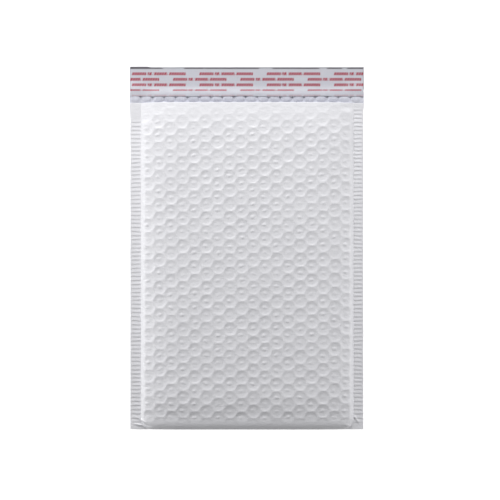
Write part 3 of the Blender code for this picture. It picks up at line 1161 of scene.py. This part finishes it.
def liner_film():
    """Bluish film with rows of slanted red dashes."""
    finish = Finish("liner_film", **LINER_GLOSS)
    where = finish.place()
    sheet = finish.node("ShaderNodeUVMap", {"uv_map": "sheet"})
    across = finish.node("ShaderNodeSeparateXYZ", {}, {0: sheet}, "X")
    down = finish.node("ShaderNodeSeparateXYZ", {}, {0: sheet}, "Y")
    line = (down - FIRST_ROW + ROW_PITCH / 2) / ROW_PITCH
    row = line.math("FLOOR", line)
    odd = row % 2.0
    level = (line - row - 0.5) * ROW_PITCH
    start = ROW_STARTS[0] + odd * (ROW_STARTS[1] - ROW_STARTS[0])
    place = (across - start) % REPEAT
    blocks = 0
    for low, high in zip(BLOCKS[::2], BLOCKS[1::2]):
        blocks = within(place, low, high) + blocks
    dash = (place + DASH_SLANT * level) % DASH_PITCH
    stroke = within(dash, DASH_FROM * DASH_PITCH, DASH_TO * DASH_PITCH)
    reach = MARK_HEIGHT / 2 * (1 - LOWER_BY * (row > TALL_ROWS))
    tall = (level.math("ABSOLUTE", level) < reach) * (row > -0.5)
    tall = tall * (1 - (1 - FAINT_INK) * (row > FULL_ROWS))
    worn = finish.noise(where, WORN_SIZE, roughness=0.6)
    ink = blocks * tall * (GAP_INK + (1 - GAP_INK) * stroke) * (WORN_INK + WORN_MORE * worn)
    cloud = finish.noise(where, LINER_CLOUD, detail=3, roughness=0.6, distortion=0.5)
    tint = finish.noise(where, LINER_TINT)
    fine = finish.noise(where, LINER_FINE, distortion=0.8)
    film = finish.blend(tint * ROSE_SHARE, finish.blend(cloud, LINER_BLUE, LINER_PALE), LINER_ROSE)
    patches = finish.noise(where, DARK_TOP_PATCH, detail=1)
    # Along its top edge the liner's colour goes to dark grey, more so in patches.
    dark_top = (down < DARK_TOP_WIDTH) * (DARK_TOP_LEAST + DARK_TOP_MORE * (patches < DARK_TOP_LIMIT))
    film = finish.blend(dark_top, film, DARK_TOP_GREY)
    finish.use(Base_Color=finish.blend(ink, film, INK),
               Roughness=LINER_ROUGHNESS + LINER_ROUGHNESS_MORE * fine,
               Normal=finish.relief(fine + 0.5 * cloud, LINER_RELIEF, strength=0.7))
    return finish.material


dress(liner_sheet, liner_film(), "release_liner", "release_liner")

# %% [markdown]
# ## Glue
#
# The glue is a flat band of soft hot melt under the liner. The CAD piece has its shape, so it stays and
# gets a finish: cloudy, slightly yellow and shiny.


# %% Glue band
GLUE_GLOSS = {"Specular IOR Level": 0.5, "Coat Weight": 0.4, "Coat Roughness": 0.1}
GLUE_PALE = (0.70, 0.68, 0.60)
GLUE_DEEP = (0.62, 0.60, 0.52)
GLUE_CLOUD = 0.005
GLUE_ROUGHNESS = 0.2
GLUE_ROUGHNESS_MORE = 0.15
GLUE_RELIEF = 0.0003


def hot_melt():
    """Cloudy soft glue."""
    finish = Finish("hot_melt", **GLUE_GLOSS)
    where = finish.place()
    cloud = finish.noise(where, GLUE_CLOUD, detail=3, roughness=0.6, distortion=0.5)
    finish.use(Base_Color=finish.blend(cloud, GLUE_PALE, GLUE_DEEP),
               Roughness=GLUE_ROUGHNESS + GLUE_ROUGHNESS_MORE * cloud,
               Normal=finish.relief(cloud, GLUE_RELIEF))
    return finish.material


adhesive_strip = bpy.data.objects["adhesive_strip"]
adhesive_strip.data.materials.clear()
adhesive_strip.data.materials.append(hot_melt())

# %% [markdown]
# ## Light, floor and backdrop
#
# The light comes from the top of the picture, near enough to fall off towards the fold, with weaker
# panels at both sides. The floor is a pale sheet that also glows for the camera and in mirrored or
# see-through rays, but lights nothing. So it shows as white paper and keeps the envelope's shadow.

# %% Lights and floor
WORLD = 0.21
FLOOR_GLOW = 0.76
FLOOR_GREY = 0.86
FLOOR_HALF = 3
BLACK = (0.0, 0.0, 0.0)
LAMPS = {
    "lamp_top": ((-0.10, 0.75, 0.46), (0.9, 0.25), 7.4),
    "lamp_left": ((-0.60, -0.08, 0.17), (0.5, 0.14), 1.7),
    "lamp_right": ((0.60, -0.10, 0.17), (0.5, 0.14), 1.4),
}


def add_lamp(name, place, size, power):
    """Area lamp that looks at the middle of the envelope."""
    data = bpy.data.lights.new(name, "AREA")
    data.shape = "RECTANGLE"
    data.size, data.size_y = size
    data.energy = power
    lamp = bpy.data.objects.new(name, data)
    lamp.location = place
    lamp.rotation_mode = "QUATERNION"
    lamp.rotation_quaternion = (-lamp.location).to_track_quat("-Z", "Y")
    bpy.context.scene.collection.objects.link(lamp)


for name, (place, size, power) in LAMPS.items():
    add_lamp(name, place, size, power)

world = bpy.data.worlds.new("studio")
bpy.context.scene.world = world
world.use_nodes = True
world.node_tree.nodes["Background"].inputs["Color"].default_value = (1, 1, 1, 1)
world.node_tree.nodes["Background"].inputs["Strength"].default_value = WORLD


def floor_finish():
    """Pale diffuse sheet that glows for camera, glossy and transmission rays."""
    grey = (FLOOR_GREY, FLOOR_GREY, FLOOR_GREY)
    glow = (FLOOR_GLOW, FLOOR_GLOW, FLOOR_GLOW)
    finish = Finish("floor", **{"Base Color": grey, "Roughness": 0.9, "Specular IOR Level": 0.1,
                                "Emission Strength": 1.0})
    rays = {name: finish.node("ShaderNodeLightPath", {}, {}, name)
            for name in ("Is Camera Ray", "Is Glossy Ray", "Is Transmission Ray")}
    seen = rays["Is Camera Ray"].math("MAXIMUM", rays["Is Camera Ray"], rays["Is Glossy Ray"])
    seen = seen.math("MAXIMUM", seen, rays["Is Transmission Ray"])
    finish.use(Emission_Color=finish.blend(seen, BLACK, glow))
    return finish.material


bm = bmesh.new()
bmesh.ops.create_grid(bm, x_segments=1, y_segments=1, size=FLOOR_HALF)
floor_mesh = bpy.data.meshes.new("floor")
bm.to_mesh(floor_mesh)
bm.free()
floor = bpy.data.objects.new("floor", floor_mesh)
bpy.context.scene.collection.objects.link(floor)
floor.data.materials.append(floor_finish())

bpy.context.scene.view_settings.view_transform = "Standard"
